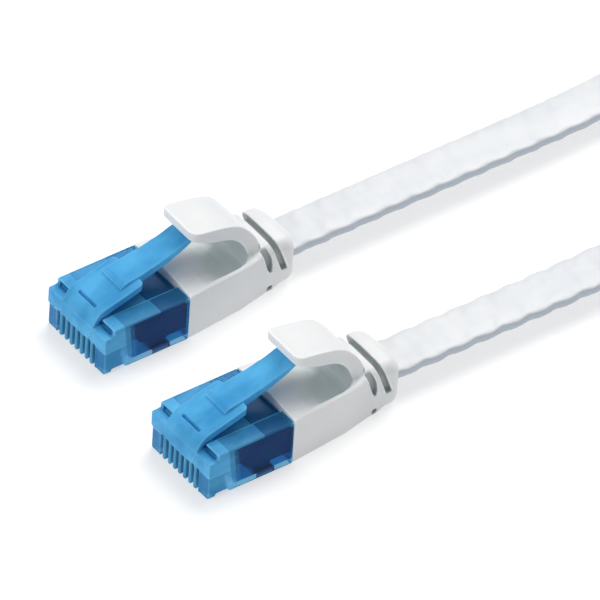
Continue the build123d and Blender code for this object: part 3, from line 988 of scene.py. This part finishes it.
def paint_housing_shade(plug, housing):
    """A 0 to 1 mask of painted shade, high where the plastic stands before something dark: the contacts, the
    notches and the foot of the insert."""
    lane, nose = PLUGS[plug]
    values = []
    for vertex in housing.data.vertices:
        x, y, z = abs(vertex.co.x - lane) / MM, (vertex.co.y - nose) / MM, vertex.co.z / MM
        low = (1 - smoothstep(z, *LOW_FALL)) * (1 - smoothstep(y, *NOSE_FALL))
        pillar = plateau(x, PILLAR_RISE, PILLAR_FALL)
        in_notch = (y < NOTCH_END) * (x < NOTCH_SIDE)
        notch = plateau(z, NOTCH_RISE, NOTCH_FALL) * smoothstep(y, *NOTCH_FRONT) * in_notch
        under = plateau(y, UNDER_RISE, UNDER_FALL) * (1 - smoothstep(z, *UNDER_TOP))
        # painted shade on the comb and pillars, in the notches and at the foot of the insert
        values.append(max(low * (0.45 + 0.55 * pillar), notch, under))
    housing.data.attributes.new("depth", "FLOAT", "POINT").data.foreach_set("value", values)


def choose_finishes(plug, housing):
    """Gives each face its finish: clearer towards the rear, cloudy on the ridges as a painted highlight,
    and dark at the foot as painted shade.
    """
    nose = PLUGS[plug][1]
    ridges = [item.value for item in housing.data.attributes["ridge"].data]
    dark = [item.value for item in housing.data.attributes["depth"].data]
    for face in housing.data.polygons:
        y, z = (face.center.y - nose) / MM, face.center.z / MM
        y += FINISH_LEAN * (z - PILLAR_TOP)
        ends = FINISH_ENDS_TOP if face.normal.z > TOP_RISE else FINISH_ENDS_SIDE
        ridge = sum(ridges[v] for v in face.vertices) / len(face.vertices)
        on_ridge = ridge > RIDGE_SHARE and dark[face.vertices[0]] <= DARK_SHARE
        if FOOT_Y[0] < y < FOOT_Y[1] and z < FOOT_TOP:
            # painted shade: the foot of the side wall takes the dark finish
            face.material_index = len(ends) + 1
        else:
            # the ridges take the cloudy, lighter finish as a painted highlight
            face.material_index = 0 if on_ridge else sum(y > end for end in ends)


def make_housing(plug, finishes):
    """The housing: cloudy at the nose and ever clearer to where it wraps the dark insert."""
    housing = cad_copy("plug_housing_" + plug, "housing_" + plug)
    shape_nose(plug, housing)
    eased(housing, *SKINS["housing"])
    round_nose(plug, housing)
    mark_ridges(housing, *RIDGES["housing"])
    paint_housing_shade(plug, housing)
    use(housing, *finishes)
    choose_finishes(plug, housing)
    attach(housing, "root")
    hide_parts("plug_housing_" + plug)


def make_inner(plug, materials):
    """The insert, the load bar and the blades with their edges rounded, and the wires' colours."""
    for node, name, slot, width in (
        ("pair_manager_", "insert_", "navy_insert", 0.12),
        ("wire_guide_", "load_bar_", "load_bar_plastic", 0.06),
    ):
        piece = cad_copy(node + plug, name + plug)
        bevelled(piece, width)
        use(piece, materials[slot])
        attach(piece, "root")
        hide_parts(node + plug)
    for i in range(8):
        node = f"contact_{plug}{i + 1}"
        blade = cad_copy(node, "blade_" + node[-2:])
        bevelled(blade, 0.05)
        use(blade, materials["gold"])
        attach(blade, "root")
        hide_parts(node)
    for name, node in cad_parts.items():
        if name.startswith("wire_" + plug):
            use(node, materials["wire_" + name.split("_", 2)[2]])


# ---------------------------------------------------------------- tie

TIE_BAND, TIE_TAIL = (0.0036, 0.00032), (0.0013, 0.0003)  # the width and thickness of each strip
TIE_RIB = 0.6  # how much thicker a strip is along its middle, where its wire is
TIE_ROOM, TIE_MIDDLE, TIE_TALL, TIE_CORNER = 0.0006, 0.00362, 0.00335, 0.25
TWIST_START, TWIST_RISE = (0.0002, 0.0005, 0.0076), 0.0008
TWIST_LENGTH, TWIST_TURNS, TWIST_RADIUS, TWIST_SPLAY = 0.0085, 2.5, 0.0004, 0.0006
STRIP_SIDES, BAND_STEPS, TWIST_STEPS = 8, 64, 39


def tie_strip(points, wide_at, size):
    """The rings of a ribbed strip along points. wide_at(k) is its width direction at each of them."""
    rings = []
    for k, point in enumerate(points):
        ahead = (Vector(points[min(k + 1, len(points) - 1)]) - Vector(points[max(k - 1, 0)])).normalized()
        wide = wide_at(k)
        wide = (wide - ahead * wide.dot(ahead)).normalized()
        flat = ahead.cross(wide)
        for j in range(STRIP_SIDES):
            a = 2 * math.pi * (j + 0.5) / STRIP_SIDES
            c, s = math.cos(a), math.sin(a)
            rib = 1.0 + (TIE_RIB if abs(c) < 0.5 else 0.0)
            rings.append(Vector(point) + wide * (size[0] / 2 * boxy(c, 0.5)) + flat * (size[1] / 2 * rib * s))
    return rings


def tie_band(middle, half):
    """A band round one side of the hank."""
    loop = []
    for k in range(BAND_STEPS + 1):
        a = 2 * math.pi * k / BAND_STEPS + math.pi / 2
        x = middle + half * boxy(math.cos(a), TIE_CORNER)
        loop.append((x, TIE_Y, TIE_MIDDLE + TIE_TALL * boxy(math.sin(a), TIE_CORNER)))
    return tie_strip(loop, lambda k: Vector((0, 1, 0)), TIE_BAND)


def tie_tail(middle, phase):
    """One of the band's two ends, twisted round the other and splayed at its tip."""
    tail, outward = [], []
    for k in range(TWIST_STEPS + 1):
        t = k / TWIST_STEPS
        turn = phase + t * 2 * math.pi * TWIST_TURNS
        radius = TWIST_RADIUS + TWIST_SPLAY * smoothstep(t, 0.75, 1.0)
        y = TIE_Y + TWIST_START[1] + TWIST_LENGTH * t
        z = TWIST_START[2] + TWIST_RISE * math.sin(math.pi * t)
        centre = Vector((middle + TWIST_START[0], y, z))
        tail.append(centre + Vector((math.cos(turn), 0, math.sin(turn))) * radius)
        outward.append(Vector((-math.sin(turn), 0, math.cos(turn))))
    return tie_strip(tail, lambda k: outward[k], TIE_TAIL)


def make_ties(material):
    """Two twist ties: a ribbed band round each side of the hank and its two ends twisted together on top."""
    inner = HANK_RADIUS - HANK_PITCH * HANK_TURNS - CABLE_T / 2
    outer = HANK_RADIUS + CABLE_T / 2
    verts, faces = [], []
    for sign in (-1, 1):
        low, high = sorted((HANK_X + sign * inner, HANK_X + sign * outer))
        middle, half = (low + high) / 2, (high - low) / 2 + TIE_ROOM
        for rings in (tie_band(middle, half), tie_tail(middle, 0.0), tie_tail(middle, math.pi)):
            faces += loft_faces(len(rings) // STRIP_SIDES, STRIP_SIDES, len(verts))
            verts += rings
    tie = new_object("twist_ties", verts, faces)
    clean_normals(tie)
    use(tie, material)
    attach(tie, "root")
    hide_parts("hank_tie")
    return tie


# ---------------------------------------------------------------- stage

def make_stage():
    """A plain floor. Its own faint glow keeps it white while the object's shadow still shows on it."""
    reach = 3
    corners = [(-reach, -reach, 0), (reach, -reach, 0), (reach, reach, 0), (-reach, reach, 0)]
    floor = new_object("floor", corners, [(0, 1, 2, 3)], smooth=False)
    m = Nodes("floor_white")
    m.colour(m.ramp(m.noise(3), [(0.3, (0.520, 0.520, 0.520)), (0.7, (0.540, 0.540, 0.540))]))
    m.set(Roughness=0.7, Specular_IOR_Level=0.1, Emission_Color=(1, 1, 1, 1), Emission_Strength=0.51)
    use(floor, m.material)


def area_light(name, place, target, size, power, colour=(1, 1, 1)):
    """A square soft light that points at a target."""
    data = bpy.data.lights.new(name, "AREA")
    data.shape, data.size, data.energy, data.color = "SQUARE", size, power, colour
    light = bpy.data.objects.new(name, data)
    light.location = place
    light.rotation_euler = (Vector(target) - Vector(place)).to_track_quat("-Z", "Y").to_euler()
    bpy.context.scene.collection.objects.link(light)


def make_light():
    """A soft light behind the plugs, a weaker one in front, and a dome that is bright only overhead."""
    world = bpy.data.worlds.new("studio")
    world.use_nodes = True
    tree = world.node_tree
    background = tree.nodes["Background"]
    place = tree.nodes.new("ShaderNodeTexCoord")
    split = tree.nodes.new("ShaderNodeSeparateXYZ")
    ramp = tree.nodes.new("ShaderNodeValToRGB")
    tree.links.new(place.outputs["Generated"], split.inputs["Vector"])
    tree.links.new(split.outputs["Z"], ramp.inputs["Fac"])
    tree.links.new(ramp.outputs["Color"], background.inputs["Color"])
    ramp.color_ramp.elements[0].color = (0.30, 0.32, 0.35, 1)
    ramp.color_ramp.elements[1].color = (0.96, 0.98, 1.0, 1)
    background.inputs["Strength"].default_value = 0.62
    bpy.context.scene.world = world
    area_light("key", (-0.34, 0.62, 0.98), (0, 0.01, 0), 0.8, 11.5, (1.0, 0.99, 0.97))
    area_light("front_fill", (-0.1, -1.1, 0.5), (0, 0, 0), 0.8, 5.5)
    bpy.context.scene.view_settings.view_transform = "Standard"


# ---------------------------------------------------------------- the scene

make_camera()
cable, cable_line, cable_length = make_cable(cable_jacket())
tie = make_ties(tie_plastic())
materials = {
    "navy_insert": navy_plastic(),
    "load_bar_plastic": guide_plastic(),
    "gold": gold_plating(),
}
for paint in WIRE_COLOURS:
    materials["wire_" + paint] = wire_insulation(paint)
    materials["wire_white_" + paint] = wire_insulation("white_" + paint)
white = boot_plastic()
blues = [blue_plastic(finish) for finish in BLUE_FINISHES]
for plug in PLUGS:
    make_housing(plug, blues)
    make_lever(plug, blues[0])
    make_inner(plug, materials)
    make_boot(plug, white)
make_stage()
make_light()
